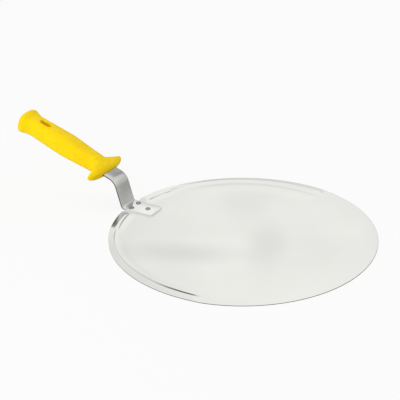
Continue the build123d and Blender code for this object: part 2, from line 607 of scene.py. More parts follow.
BLADE_STEEL = SteelFinish(
    name="blade_steel",
    colour=(0.842, 0.839, 0.805),
    shade=(0.815, 0.812, 0.779),
    roughness=0.08,
    roughness_spread=0.015,
    grain_pitch=0.6 * MM,
    grain_depth=0.0004 * MM,
    cloud_size=90 * MM,
    wave_size=110 * MM,
    wave_depth=0.1 * MM,
    # Painted shade: broad darker patches where the polished blade mirrors darker parts of the studio
    shade_patches=(
        ShadePatch(-40 * MM, -68 * MM, 98 * MM, 36 * MM, 25.0, 0.13),
        ShadePatch(36 * MM, -10 * MM, 84 * MM, 34 * MM, -66.0, 0.10),
        ShadePatch(-40 * MM, 72 * MM, 62 * MM, 46 * MM, -60.0, 0.05),
        ShadePatch(100 * MM, -10 * MM, 110 * MM, 80 * MM, 30.0, 0.035),
    ),
)
SHANK_STEEL = SteelFinish(
    name="shank_steel",
    colour=(0.688, 0.688, 0.665),
    shade=(0.638, 0.638, 0.616),
    roughness=0.2,
    roughness_spread=0.03,
    grain_pitch=0.35 * MM,
    grain_depth=0.0006 * MM,
    cloud_size=14 * MM,
    wave_size=20 * MM,
    wave_depth=0.02 * MM,
)
# Painted light: the tab is the same steel as the rest of the bar, painted lighter where it lies flat on the
# blade
TAB_STEEL_LIGHTENED = SteelFinish(
    name="tab_steel_lightened",
    colour=(0.87, 0.87, 0.85),
    shade=(0.84, 0.84, 0.82),
    roughness=0.1,
    roughness_spread=0.02,
    grain_pitch=0.4 * MM,
    grain_depth=0.0005 * MM,
    cloud_size=18 * MM,
    wave_size=30 * MM,
    wave_depth=0.03 * MM,
)
# The bar's back and undersides: a duller mill finish, its dark colour painted shade for the faces turned away
# from the light
MILL_STEEL_AND_SHADE = SteelFinish(
    name="mill_steel_and_shade",
    colour=(0.28, 0.28, 0.275),
    shade=(0.21, 0.21, 0.205),
    roughness=0.42,
    roughness_spread=0.06,
    grain_pitch=0.3 * MM,
    grain_depth=0.003 * MM,
    cloud_size=9 * MM,
    wave_size=15 * MM,
    wave_depth=0.01 * MM,
)
# Sheared edges and the bar's sides: rougher steel whose dark colour is partly real, partly painted shade for
# the dark line along these edges
SHEARED_STEEL_AND_SHADE = SteelFinish(
    name="sheared_steel_and_shade",
    colour=(0.30, 0.295, 0.285),
    shade=(0.21, 0.205, 0.20),
    roughness=0.38,
    roughness_spread=0.08,
    grain_pitch=0.25 * MM,
    grain_depth=0.004 * MM,
    cloud_size=5 * MM,
    wave_size=8 * MM,
    wave_depth=0.01 * MM,
)
# Painted shade: the rivet heads' steel is darkened to stand in for the shade round their low domes
RIVET_STEEL_SHADED = SteelFinish(
    name="rivet_steel",
    colour=(0.37, 0.37, 0.36),
    shade=(0.28, 0.28, 0.275),
    roughness=0.3,
    roughness_spread=0.05,
    grain_pitch=0.3 * MM,
    grain_depth=0.001 * MM,
    cloud_size=3 * MM,
    wave_size=4 * MM,
    wave_depth=0.01 * MM,
)
GRIP_PLASTIC = PlasticFinish(
    name="grip_plastic",
    colour=(0.98, 0.693, 0.0),
    shade=(0.95, 0.632, 0.0),
    roughness=0.42,
    roughness_spread=0.05,
    sheen=0.15,
    glow=0.35,
    glow_depth=3.5 * MM,
    glow_colour=(1.0, 0.55, 0.05),
    texture_pitch=0.5 * MM,
    texture_depth=0.005 * MM,
    cloud_size=22 * MM,
)


# ---------------------------------------------------------------------------------------
# Blade
# ---------------------------------------------------------------------------------------


@dataclass(frozen=True)
class Fade:
    """How a form of the rim fades out round the blade, in degrees from the grip's direction."""

    start: float
    end: float

    def share(self, angle: float) -> float:
        """Share of the form that is left at an angle: all before the start, none past the end."""
        return 1.0 - eased_step(angle - self.start, self.end - self.start)


@dataclass(frozen=True)
class Slope:
    """The rim's slope: its width, the rounding of its corners, and how hollow it is, 1 for straight."""

    width: float
    rounding: float
    power: float

    def towards(self, other: "Slope", share: float) -> "Slope":
        """The slope a share of the way to another one.

        Args:
            other: The slope at a share of 1.
            share: How far it is towards the other one.

        Returns:
            The slope between the two.
        """
        return Slope(
            width=self.width + (other.width - self.width) * share,
            rounding=self.rounding + (other.rounding - self.rounding) * share,
            power=self.power + (other.power - self.power) * share,
        )

    def risen(self, distance: float) -> float:
        """Share of the rise at a distance past the slope's foot."""
        return soft_step(distance, self.width, self.rounding) ** self.power


@dataclass(frozen=True)
class Step:
    """One straight step of the rim's slope beside the shank. Its place is measured from the foot."""

    start: float
    end: float
    rounding: float
    rise_share: float

    def risen(self, distance: float) -> float:
        """This step's part of the rise at a distance past the slope's foot."""
        return soft_step(distance - self.start, self.end - self.start, self.rounding) * self.rise_share


@dataclass
class Blade:
    """Round sheet, flat at the front, with a low pressed rim round its rear half.

    Towards the shank the rim's slope grows wider and hollow, and close to it the slope turns into a
    gentle apron with two steps. The rim is also higher there. Angles are in degrees from the grip's
    direction, the same on both sides.
    """

    radius: float = 150.0 * MM
    thickness: float = 0.8 * MM
    edge_rounding: float = 0.14 * MM
    rivet_hole_radius: float = 2.35 * MM
    hole_cutter_depth: float = 3.2 * MM

    # The rim all round
    foot_width: float = 15.2 * MM
    rise: float = 1.0 * MM
    slope: Slope = Slope(width=5.2 * MM, rounding=0.8 * MM, power=1.0)
    flange_fall: float = 0.7 * MM
    half_angle: float = 103.0
    end_run: float = 7.0 * MM
    end_sweep: float = 3.2 * MM
    end_sweep_angle: float = 16.0
    draw_in: float = 2.8 * MM

    # The rim towards the shank, and the gap that it leaves for the tab
    near_slope: Slope = Slope(width=7.0 * MM, rounding=0.3 * MM, power=3.6)
    near_slope_fade: Fade = Fade(33.0, 76.0)
    steps: tuple[Step, ...] = (
        Step(start=-4.2 * MM, end=2.8 * MM, rounding=0.8 * MM, rise_share=0.42),
        Step(start=2.8 * MM, end=4.1 * MM, rounding=0.3 * MM, rise_share=0.36),
        Step(start=4.1 * MM, end=7.0 * MM, rounding=0.3 * MM, rise_share=0.22),
    )
    steps_fade: Fade = Fade(19.0, 31.0)
    near_rise: float = 0.65 * MM
    near_rise_fade: Fade = Fade(11.0, 31.0)
    near_flare: float = 0.26 * MM
    near_flare_fade: Fade = Fade(23.0, 43.0)
    gap_half_width: float = 14.5 * MM
    gap_run: float = 7.0 * MM
    gap_draw_in: float = 2.2 * MM

    # A faint swell of the flat inside the rim's foot, away from the shank
    swell: float = 0.25 * MM
    swell_run: float = 20.0 * MM
    swell_fall: float = 8.0 * MM
    swell_gap: Fade = Fade(27.0, 47.0)

    # The mesh
    segments: int = 288
    ring_pitch: float = 0.4 * MM
    swell_rings: int = 42
    edge_steps: int = 2
    edge_angle: float = 60.0
    hole_corners: int = 32
    crease_angle: float = 35.0

    def flat_radius(self) -> float:
        """Radius of the sheet inside the rim."""
        return self.radius - self.foot_width

    def angle_of(self, place: Vector) -> float:
        """Degrees from the grip's direction to a place in plan."""
        return abs(degrees(atan2(place.y, -place.x)))

    def foot_radius(self, angle: float) -> float:
        """Radius of the foot of the rim's slope, which runs out towards the edge at the rim's end."""
        share = (angle - self.half_angle + self.end_sweep_angle) / self.end_sweep_angle
        return self.flat_radius() + self.end_sweep * max(0.0, share) ** 2

    def slope_at(self, angle: float) -> Slope:
        """The rim's slope at an angle, before it turns into steps."""
        return self.slope.towards(self.near_slope, self.near_slope_fade.share(angle))

    def ring_radii(self) -> list[float]:
        """Where the mesh's rings lie.

        Returns:
            Their radii, from the flat out to the edge.
        """
        foot = self.flat_radius()
        inside = self.swell_run + self.swell_fall
        swell_rings = [foot - inside * (1 - ring / self.swell_rings) for ring in range(self.swell_rings)]
        count = round(self.foot_width / self.ring_pitch)
        return [*swell_rings, *(foot + self.foot_width * ring / count for ring in range(count + 1))]

    def stretch_share(self, place: Vector) -> float:
        """Eases the rim in beside the shank and out at its ends.

        Args:
            place: A point in plan.

        Returns:
            The share of the rim's height that is left there, from 0 to 1.
        """
        beside = eased_step(abs(place.y) - self.gap_half_width, self.gap_run)
        turn = radians(self.half_angle)
        return beside * eased_step(-place.x * sin(turn) - abs(place.y) * cos(turn), self.end_run)

    def rim_share(self, place: Vector) -> float:
        """How much of the rim's height there is at a place.

        Args:
            place: A point in plan.

        Returns:
            The share of the full rise, from 0 to 1.
        """
        angle = self.angle_of(place)
        up_slope = place.xy.length - self.foot_radius(angle)
        smooth = self.slope_at(angle).risen(up_slope)
        stepped = sum(step.risen(up_slope) for step in self.steps)
        risen = smooth + (stepped - smooth) * self.steps_fade.share(angle)
        return risen * self.stretch_share(place)

    def edge_radius(self, angle: float) -> float:
        """The blade's radius after pressing has drawn the rim's edge in.

        Args:
            angle: Degrees from the grip's direction.

        Returns:
            The radius, least half way between the gap and the rim's end.
        """
        gap_angle = degrees(self.gap_half_width / self.radius)
        middle_angle = (gap_angle + self.half_angle) / 2
        if angle >= self.half_angle:
            return self.radius
        if angle >= middle_angle:
            share = (self.half_angle - angle) / (self.half_angle - middle_angle)
            return self.radius - self.draw_in * (1 - (1 - share) ** 2)
        share = (middle_angle - angle) / middle_angle
        return self.radius - self.draw_in + (self.draw_in - self.gap_draw_in) * share**2

    def rise_at(self, angle: float, from_foot: float) -> float:
        """Height of the rim's form, before it is eased in and out.

        Args:
            angle: Degrees from the grip's direction.
            from_foot: Distance out from the flat's edge.

        Returns:
            The height over the flat: the crest's, then the tilted flange's.
        """
        slope_width = self.slope_at(angle).width
        past_crest = max(0.0, from_foot - slope_width) / (self.foot_width - slope_width)
        flared = self.near_flare_fade.share(angle)
        tilt = self.near_flare * flared * past_crest**2 - self.flange_fall * (1.0 - flared) * past_crest
        return self.rise + self.near_rise * self.near_rise_fade.share(angle) + tilt

    def swell_at(self, angle: float, from_foot: float) -> float:
        """Height of the swell inside the rim, before it is eased in and out.

        Args:
            angle: Degrees from the grip's direction.
            from_foot: Distance out from the flat's edge.

        Returns:
            The height over the flat.
        """
        past_swell = from_foot + self.swell_fall
        risen = eased_step(past_swell + self.swell_run, self.swell_run)
        left = 1.0 - eased_step(past_swell, self.swell_fall)
        return self.swell * risen * left * (1.0 - self.swell_gap.share(angle))

    def press(self, place: Vector) -> Vector:
        """Where a point of the flat blank lies after pressing.

        Args:
            place: The point on the flat blank.

        Returns:
            Its place on the finished blade.
        """
        from_middle = place.xy.length
        from_foot = from_middle - self.flat_radius()
        angle = self.angle_of(place)
        if from_foot > 0:
            drawn = (self.radius - self.edge_radius(angle)) * from_foot / self.foot_width
            place.xy *= (from_middle - drawn) / from_middle
        rim = self.rise_at(angle, from_foot) * self.rim_share(place)
        place.z += self.swell_at(angle, from_foot) * self.stretch_share(place) + rim
        return place

    def build(self, rivet_places: list[tuple[float, float]]) -> bpy.types.Object:
        """Models the blade as a ringed disc that is pressed, thickened and edge-rounded.

        Args:
            rivet_places: The rivets' places in plan.

        Returns:
            The finished blade.
        """
        rings = self.ring_radii()
        blade = new_piece(
            "peel_blade", bpy.ops.mesh.primitive_circle_add,
            vertices=self.segments, radius=rings[0], fill_type="NGON", location=(0, 0, self.thickness),
        )
        with editing(blade, Part.EDGES):
            pick(blade, Part.EDGES, lambda edge: edge.is_boundary)
            for inner, outer in zip(rings, rings[1:]):
                bpy.ops.mesh.extrude_edges_move()
                bpy.ops.transform.resize(value=(outer / inner, outer / inner, 1), center_override=(0, 0, 0))
        shape(blade, self.press)
        finish_with(blade, "SOLIDIFY", thickness=self.thickness, offset=-1.0, use_even_offset=True)
        close_up(blade)
        finish_with(
            blade, "BEVEL", width=self.edge_rounding, segments=self.edge_steps, limit_method="ANGLE",
            angle_limit=radians(self.edge_angle), offset_type="OFFSET",
        )
        for x, y in rivet_places:
            cutter = new_piece(
                "hole_cutter", bpy.ops.mesh.primitive_cylinder_add, vertices=self.hole_corners,
                radius=self.rivet_hole_radius, depth=self.hole_cutter_depth, location=(x, y, 0),
            )
            combine(blade, Join.CUT, cutter)
        # The sheared edge takes the darker finish, which is partly painted shade
        mark_faces(blade, self.is_sheared)
        smooth_up_to(blade, self.crease_angle)
        return blade

    def is_sheared(self, face: bpy.types.MeshPolygon) -> bool:
        """Whether a face is part of the sheared edge: upright, and at the outside."""
        inside = self.radius - 2 * self.draw_in
        return abs(face.normal.z) < STEEP and Vector(face.center).xy.length > inside


# ---------------------------------------------------------------------------------------
# Shank
# ---------------------------------------------------------------------------------------


class BarFinish(Enum):
    """The bar's finishes, by their numbers. The tab's is painted light, the back's is painted shade on duller
    steel, and the sides' is partly painted shade.
    """

    FRONT = 0
    SHEARED = 1
    BACK = 2
    TAB = 3


@dataclass
class Shank:
    """Flat bar with a tab on the blade, a web, a leg, and a tang inside the grip."""

    width: float = 25.0 * MM
    thickness: float = 2.0 * MM
    tab_length: float = 39.6 * MM
    tab_corner_radius: float = 4.0 * MM
    corner: Place = (-151.2 * MM, 0.0, 1.8 * MM)
    web_rise: float = 31.8 * MM
    web_lean: float = 17.0
    lower_bend_radius: float = 4.0 * MM
    upper_bend_radius: float = 15.0 * MM
    leg_length: float = 15.2 * MM
    grip_angle: float = 18.8
    shoulder_depth: float = 6.0 * MM
    tang_width: float = 14.0 * MM
    tang_length: float = 78.0 * MM
    edge_rounding: float = 0.5 * MM
    bend_steps: int = 16
    tab_corner_steps: int = 8
    edge_steps: int = 3
    sharp_angle: float = 50.0
    crease_angle: float = 40.0
    back_facing: float = 0.6

    def lower_corner(self) -> Vector:
        """Where the tab's and the web's middle lines meet."""
        return Vector(self.corner)

    def upper_corner(self) -> Vector:
        """Where the web's and the leg's middle lines meet."""
        run = -self.web_rise * tan(radians(self.web_lean))
        return self.lower_corner() + Vector((run, 0, self.web_rise))

    def tab_end(self) -> Vector:
        """Where the tab's middle line ends on the blade."""
        return self.lower_corner() + Vector((self.tab_length, 0, 0))

    def web_direction(self) -> Vector:
        """Unit vector up the web."""
        return (self.upper_corner() - self.lower_corner()).normalized()

    def grip_direction(self) -> Vector:
        """Unit vector along the leg, out to the butt."""
        turn = radians(self.grip_angle)
        return Vector((-cos(turn), 0, sin(turn)))

    def grip_front(self) -> Vector:
        """Where the bar's middle line enters the guard."""
        return self.upper_corner() + self.grip_direction() * self.leg_length

    def bend(self, turn: Turn, start: Vector, direction: Vector, radius: float, angle: float) -> None:
        """Spins the selected end face round a bend.

        Args:
            turn: Which way the bar bends.
            start: Middle of the end face.
            direction: Way that the bar runs before the bend.
            radius: Bend radius on the bar's middle line.
            angle: Degrees of the bend.
        """
        side = direction.cross(Vector((0, 1, 0))) * turn.value
        centre = start + side * radius
        bpy.ops.mesh.spin(
            steps=self.bend_steps, angle=turn.value * radians(angle), center=centre, axis=(0, 1, 0)
        )

    def bar(self) -> bpy.types.Object:
        """Models the bar with sharp edges, drawn out from its tab's end to its tang's end.

        Returns:
            The bar.
        """
        lower, upper, tab_end = self.lower_corner(), self.upper_corner(), self.tab_end()
        back, web, out = Vector((-1, 0, 0)), self.web_direction(), self.grip_direction()
        lower_turn = degrees(back.angle(web))
        upper_turn = degrees(web.angle(out))
        lower_setback = self.lower_bend_radius * tan(radians(lower_turn / 2))
        upper_setback = self.upper_bend_radius * tan(radians(upper_turn / 2))
        shoulder = self.grip_front() + out * self.shoulder_depth
        shank = new_piece(
            "peel_shank", bpy.ops.mesh.primitive_plane_add, size=1, location=tab_end, rotation=(0, -pi / 2, 0)
        )
        with editing(shank):
            bpy.ops.mesh.select_all(action="SELECT")
            bpy.ops.transform.resize(value=(1, self.width, self.thickness), center_override=tab_end)
            run = back * (self.tab_length - lower_setback)
            pull(run)
            self.bend(Turn.UP, tab_end + run, back, self.lower_bend_radius, lower_turn)
            web_start = lower + web * lower_setback
            run = upper - web * upper_setback - web_start
            pull(run)
            self.bend(Turn.BACK, web_start + run, web, self.upper_bend_radius, upper_turn)
            pull(out * (self.leg_length - upper_setback + self.shoulder_depth))
            bpy.ops.mesh.extrude_region_move()
            bpy.ops.transform.resize(value=(1, self.tang_width / self.width, 1), center_override=shoulder)
            pull(out * self.tang_length)
        close_up(shank)
        return shank

    def build(self) -> bpy.types.Object:
        """Models the whole shank: the bar with its tab's corners and its edges rounded.

        Returns:
            The finished shank.
        """
        shank = self.bar()
        round_edges(shank, self.is_tab_corner, self.tab_corner_radius, self.tab_corner_steps)
        round_edges(shank, self.is_rounded, self.edge_rounding, self.edge_steps)
        mark_faces(shank, self.finish_of)
        smooth_up_to(shank, self.crease_angle)
        return shank

    def is_tab_corner(self, edge: bmesh.types.BMEdge) -> bool:
        """Whether an edge is one of the two upright ones at the tab's end."""
        upright = abs(edge.verts[0].co.z - edge.verts[1].co.z) > self.thickness / 2
        return upright and abs(middle_of(edge).x - self.tab_end().x) < CLOSE

    def is_rounded(self, edge: bmesh.types.BMEdge) -> bool:
        """Whether an edge is broken: every sharp one but those where the tab lies on the blade.

        Args:
            edge: An edge of the bar.

        Returns:
            True for an edge to round.
        """
        middle = middle_of(edge)
        on_blade = middle.x > self.corner[0] and middle.z < self.corner[2] - self.thickness / 4
        return edge.calc_face_angle(0.0) > radians(self.sharp_angle) and not on_blade

    def finish_of(self, face: bpy.types.MeshPolygon) -> int:
        """Number of a face's finish, which paints light on the tab and shade on the back and sides.

        Args:
            face: A face of the finished bar.

        Returns:
            Its BarFinish number.
        """
        # The tab takes the lighter finish: painted light
        if face.center.x > self.corner[0] + self.lower_bend_radius / 2 or face.center.z < self.corner[2]:
            return BarFinish.TAB.value
        # The bar's sides: rougher, and darker partly as painted shade
        if abs(face.normal.y) > FACING:
            return BarFinish.SHEARED.value
        # Faces that look back or down get painted shade
        web, out = self.web_direction(), self.grip_direction()
        backward = Vector((-web.z, 0, web.x)) + Vector((-out.z, 0, out.x))
        facing_back = face.normal.dot(backward) > self.back_facing
        return BarFinish.BACK.value if facing_back else BarFinish.FRONT.value


# ---------------------------------------------------------------------------------------
# Rivets
# ---------------------------------------------------------------------------------------


@dataclass
class Rivets:
    """Three rivets: low domed heads on the tab, shafts, and flush closing heads below."""

    shaft_radius: float = 1.6 * MM
    head_radius: float = 3.0 * MM
    head_height: float = 1.2 * MM
    head_lip: float = 0.2 * MM
    tail_radius: float = 2.3 * MM
    tab_top: float = 2.8 * MM
    pair_spacing: float = 14.0 * MM
    pair_x: float = -141.5 * MM
    single_x: float = -123.8 * MM
    corners: int = 48
    dome_steps: int = 6
    dome_turn: float = 84.0
    crease_angle: float = 50.0

    def places(self) -> list[tuple[float, float]]:
        """The rivets' places in plan."""
        half = self.pair_spacing / 2
        return [(self.pair_x, half), (self.pair_x, -half), (self.single_x, 0.0)]

    def dome(self) -> list[tuple[float, float]]:
        """The head's dome.

        Returns:
            Heights and radii of its rings, from the lip to the small flat top.
        """
        start = self.tab_top + self.head_lip
        rise = self.head_height - self.head_lip
        turns = [radians(self.dome_turn * step / self.dome_steps) for step in range(self.dome_steps + 1)]
        return [(start + rise * sin(turn), self.head_radius * cos(turn)) for turn in turns]

    def tail(self) -> list[tuple[float, float]]:
        """All below the head: the shaft, and the flush closing head.

        Returns:
            Heights and radii of its rings, from the head's underside down.
        """
        closing_height = self.tail_radius - self.shaft_radius
        return [
            (self.tab_top, self.head_radius),
            (self.tab_top, self.shaft_radius),
            (closing_height, self.shaft_radius),
            (0.0, self.tail_radius),
        ]

    def first(self) -> bpy.types.Object:
        """Models one rivet: a disc that is drawn up into a dome, and down to its tail.

        Returns:
            The rivet, with its axis through the origin.
        """
        rivet = new_piece(
            "rivet_pair_far", bpy.ops.mesh.primitive_cylinder_add, vertices=self.corners,
            radius=self.head_radius, depth=self.head_lip, location=(0, 0, self.tab_top + self.head_lip / 2),
        )
        for way, rings in ((1, self.dome()), (-1, self.tail())):
            sections = [Section((0, 0, height), (radius, radius, 1)) for height, radius in rings]
            with editing(rivet):
                pick(rivet, Part.FACES, lambda face: face.normal.z * way > FACING)
                draw_out(sections)
        close_up(rivet)
        smooth_up_to(rivet, self.crease_angle)
        return rivet

    def build(self) -> list[bpy.types.Object]:
        """Models one rivet and copies it to the other places.

        Returns:
            The three rivets.
        """
        first = self.first()
        rivets = [first]
        for name in ("rivet_pair_near", "rivet_single"):
            copy = first.copy()
            copy.data = first.data.copy()
            copy.name = name
            copy.data.name = name
            bpy.context.scene.collection.objects.link(copy)
            rivets.append(copy)
        for rivet, (x, y) in zip(rivets, self.places()):
            rivet.data.transform(Matrix.Translation((x, y, 0)))
        return rivets


# ---------------------------------------------------------------------------------------
# Grip
# ---------------------------------------------------------------------------------------


@dataclass
class Grip:
    """Oval moulding with a winged guard, a flared butt, a hang slot and a mouth for the bar.

    It is modelled along X from the guard's front face, with its top up, and placed at the end.
    """

    length: float = 127.5 * MM
    squareness: float = 0.74

    # The body's stations: place, width and thickness. The waist and the butt are placed from its end.
    nose: Station = (4.0 * MM, 22.0 * MM, 9.0 * MM)
    neck: Station = (20.5 * MM, 22.8 * MM, 20.8 * MM)
    palm_size: Size = (27.8 * MM, 24.6 * MM)
    waist: Station = (18.5 * MM, 24.8 * MM, 23.2 * MM)
    butt: Station = (6.0 * MM, 32.0 * MM, 26.4 * MM)
    butt_flare: Size = (13.0 * MM, 6.0 * MM)
    cap_fullness: float = 0.5

    # The guard: length and thickness at its root and at its tips
    guard_half_span: float = 32.0 * MM
    guard_sweep: float = 3.6 * MM
    guard_root: Size = (20.5 * MM, 17.0 * MM)
    guard_tip: Size = (7.2 * MM, 10.0 * MM)
    guard_fullest_share: float = 0.68
    tip_power: float = 8.0
    tip_cut: float = 0.985

    # The hang slot, and the mouth for the bar
    slot_length: float = 15.0 * MM
    slot_width: float = 7.0 * MM
    slot_inset: float = 30.5 * MM
    slot_lip: float = 1.3 * MM
    slot_lip_depth: float = 4.0 * MM
    mouth_gap: float = 0.25 * MM
    mouth_depth: float = 1.6 * MM

    # The mesh: drawn sections, then one even skin. A fold pass is steps to grow by, then smoothings.
    section_corners: int = 64
    body_steps: int = 52
    cap_steps: int = 10
    guard_steps: int = 22
    end_turn: float = 80.0
    slot_corners: int = 48
    skin_pitch: float = 0.5 * MM
    skin_smoothing: int = 8
    slot_lip_smoothing: int = 40
    fold_reach: float = 36.0 * MM
    fold_hollow: float = 0.012 * MM
    fold_passes: tuple[tuple[int, int], ...] = ((5, 240), (3, 24))
    crease_angle: float = 40.0

    def size_at(self, x: float) -> Size:
        """The grip's width and thickness at a place along its axis.

        Args:
            x: Distance from the guard's front face.

        Returns:
            Width and thickness.
        """
        waist_x = self.length - self.waist[0]
        stations = [
            self.nose,
            self.neck,
            ((self.neck[0] + waist_x) / 2, *self.palm_size),
            (waist_x, *self.waist[1:]),
        ]
        for (start, *start_size), (end, *end_size) in zip(stations, stations[1:]):
            if x <= end:
                share = max(0.0, (x - start) / (end - start))
                return tuple(ease(first, last, share) for first, last in zip(start_size, end_size))
        past = x - (self.length - self.butt[0])
        flared = [eased_step(past + run, run) for run in self.butt_flare]
        sizes = zip(self.waist[1:], self.butt[1:], flared)
        return tuple(first + (last - first) * share for first, last, share in sizes)

    def body_sections(self) -> list[Station]:
        """The body's rings.

        Returns:
            Their places, widths and thicknesses, from the nose to the butt's end.
        """
        end = self.length - self.butt[0]
        reach = end - self.nose[0]
        sections = []
        for step in range(self.body_steps + 1):
            x = self.nose[0] + reach * step / self.body_steps
            sections.append((x, *self.size_at(x)))
        for step in range(1, self.cap_steps + 1):
            turn = radians(self.end_turn * step / self.cap_steps)
            shrink = cos(turn) ** self.cap_fullness
            x = end + self.butt[0] * sin(turn) / sin(radians(self.end_turn))
            sections.append((x, self.butt[1] * shrink, self.butt[2] * shrink))
        return sections

    def squared(self, across: float, up: float) -> Size:
        """Pushes a point of the unit circle out towards a square."""
        return copysign(abs(across) ** self.squareness, across), copysign(abs(up) ** self.squareness, up)

    def drawn(
        self, name: str, rotation: Place, first_ring: Callable[[Vector], Vector], sections: list[Section]
    ) -> bpy.types.Object:
        """Models a closed form that is drawn out from one round face.

        Args:
            name: The form's name.
            rotation: Turns the round face square to the way it is drawn.
            first_ring: Gives the first section's corners from those of the unit circle.
            sections: The form's sections.

        Returns:
            The form.
        """
        form = new_piece(
            name, bpy.ops.mesh.primitive_circle_add,
            vertices=self.section_corners, radius=1, fill_type="NGON", rotation=rotation,
        )
        shape(form, first_ring)
        with editing(form):
            bpy.ops.mesh.select_all(action="SELECT")
            draw_out(sections)
        close_up(form)
        return form

    def body(self) -> bpy.types.Object:
        """Models what the hand holds, drawn out along the grip.

        Returns:
            The body.
        """
        stations = self.body_sections()
        start, width, thickness = stations[0]

        def first_ring(place: Vector) -> Vector:
            """Puts a corner of the unit circle on the first section."""
            across, up = self.squared(place.y, place.z)
            return Vector((start, across * width / 2, up * thickness / 2))

        sections = [Section((x, 0, 0), (1, *size)) for x, *size in stations]
        return self.drawn("peel_grip", (0, pi / 2, 0), first_ring, sections)

    def guard_section(self, share: float) -> Section:
        """The guard's section at a share of its half span.

        Args:
            share: From -1 at the near tip to 1 at the far one.

        Returns:
            Its fullest place, and its reach in front of that place and half thickness.
        """
        span = abs(share)
        shrink = sqrt(1 - (self.tip_cut * span) ** self.tip_power)
        length, thickness = (ease(root, tip, span) for root, tip in zip(self.guard_root, self.guard_tip))
        front = length * self.guard_fullest_share
        middle = (self.guard_sweep * span**2 + front, share * self.guard_half_span, 0)
        return Section(middle, (front * shrink, 1, thickness * shrink / 2))

    def guard(self) -> bpy.types.Object:
        """Models the winged guard, drawn out across the grip from tip to tip.

        Returns:
            The guard.
        """
        steps = range(-self.guard_steps, self.guard_steps + 1)
        turns = [radians(self.end_turn * step / self.guard_steps) for step in steps]
        sections = [self.guard_section(sin(turn) / sin(radians(self.end_turn))) for turn in turns]
        (fullest, y, _), (front, _, half_thickness) = sections[0].middle, sections[0].size
        rear = front * ((1 - self.guard_fullest_share) / self.guard_fullest_share)

        def first_ring(place: Vector) -> Vector:
            """Puts a corner of the unit circle on the first section, which reaches less far to the rear."""
            along, up = self.squared(place.x, place.z)
            return Vector((fullest + along * (rear if along > 0 else front), y, up * half_thickness))

        return self.drawn("guard", (pi / 2, 0, 0), first_ring, sections)

    def is_in_fold(self, corner: bmesh.types.BMVert) -> bool:
        """Whether a corner lies in the fold between the body and the guard.

        Args:
            corner: A corner of the skin.

        Returns:
            True where the skin is hollow, near the guard.
        """
        if corner.co.x > self.fold_reach:
            return False
        around = [edge.other_vert(corner).co for edge in corner.link_edges]
        middle = sum(around, Vector()) / len(around)
        return (middle - corner.co).dot(corner.normal) > self.fold_hollow

    def fill_fold(self, grip: bpy.types.Object) -> None:
        """Draws the fold between the body and the guard out to a wide fillet.

        Args:
            grip: The skinned grip.
        """
        with editing(grip, Part.CORNERS):
            pick(grip, Part.CORNERS, self.is_in_fold)
            for growth, smoothing in self.fold_passes:
                for _ in range(growth):
                    bpy.ops.mesh.select_more()
                bpy.ops.mesh.vertices_smooth(factor=HALF_WAY, repeat=smoothing)

    def is_on_slot_lip(self, corner: bmesh.types.BMVert) -> bool:
        """Whether a corner lies on the outer edge of the hang slot, above or below.

        Args:
            corner: A corner of the skin.

        Returns:
            True for a corner on the slot's lip.
        """
        reach = (self.slot_length - self.slot_width) / 2
        along = max(0.0, abs(corner.co.x - self.length + self.slot_inset) - reach)
        outside = hypot(along, corner.co.y) - self.slot_width / 2
        return outside < self.slot_lip and abs(corner.co.z) > self.palm_size[1] / 2 - self.slot_lip_depth

    def soften_slot(self, grip: bpy.types.Object) -> None:
        """Rounds the edges of the hang slot.

        Args:
            grip: The skinned grip.
        """
        with editing(grip, Part.CORNERS):
            pick(grip, Part.CORNERS, self.is_on_slot_lip)
            bpy.ops.mesh.vertices_smooth(factor=HALF_WAY, repeat=self.slot_lip_smoothing)

    def slot_cutter(self) -> bpy.types.Object:
        """Models the cutter for the hang slot, a cylinder whose halves are moved apart.

        Returns:
            The cutter, longer than the grip is thick.
        """
        radius = self.slot_width / 2
        middle = self.length - self.slot_inset
        reach = self.slot_length / 2 - radius
        cutter = new_piece(
            "slot_cutter", bpy.ops.mesh.primitive_cylinder_add, vertices=self.slot_corners,
            radius=radius, depth=2 * self.palm_size[0], location=(middle, 0, 0),
        )

        def stretch(place: Vector) -> Vector:
            """Moves a corner out to its own end of the slot."""
            place.x += reach if place.x > middle else -reach
            return place

        shape(cutter, stretch)
        return cutter

    def mouth_cutter(self, shank: Shank) -> bpy.types.Object:
        """Models the cutter for the mouth that the bar enters.

        Args:
            shank: The bar, which gets a narrow gap all round.

        Returns:
            The cutter, half of it in front of the guard.
        """
        width, height = (size + 2 * self.mouth_gap for size in (shank.width, shank.thickness))
        cutter = new_piece("mouth_cutter", bpy.ops.mesh.primitive_cube_add, size=1)
        shape(cutter, lambda place: place * Vector((2 * self.mouth_depth, width, height)))
        return cutter

    def build(self, shank: Shank) -> bpy.types.Object:
        """Models the whole grip on its shank.

        Args:
            shank: The bar that the grip is moulded over.

        Returns:
            The finished grip.
        """
        grip = self.body()
        combine(grip, Join.WELD, self.guard())
        combine(grip, Join.CUT, self.slot_cutter())
        finish_with(grip, "REMESH", mode="VOXEL", voxel_size=self.skin_pitch)
        finish_with(grip, "SMOOTH", factor=HALF_WAY, iterations=self.skin_smoothing)
        self.fill_fold(grip)
        self.soften_slot(grip)
        combine(grip, Join.CUT, self.mouth_cutter(shank))
        out = shank.grip_direction()
        up = Vector((out.z, 0, -out.x))
        turned = Matrix((out, up.cross(out), up)).transposed().to_4x4()
        grip.data.transform(Matrix.Translation(shank.grip_front()) @ turned)
        smooth_up_to(grip, self.crease_angle)
        return grip


# ---------------------------------------------------------------------------------------
# Studio
# ---------------------------------------------------------------------------------------


def sines(angles: Range) -> Range:
    """Sines of two angles in degrees."""
    return tuple(sin(radians(angle)) for angle in angles)


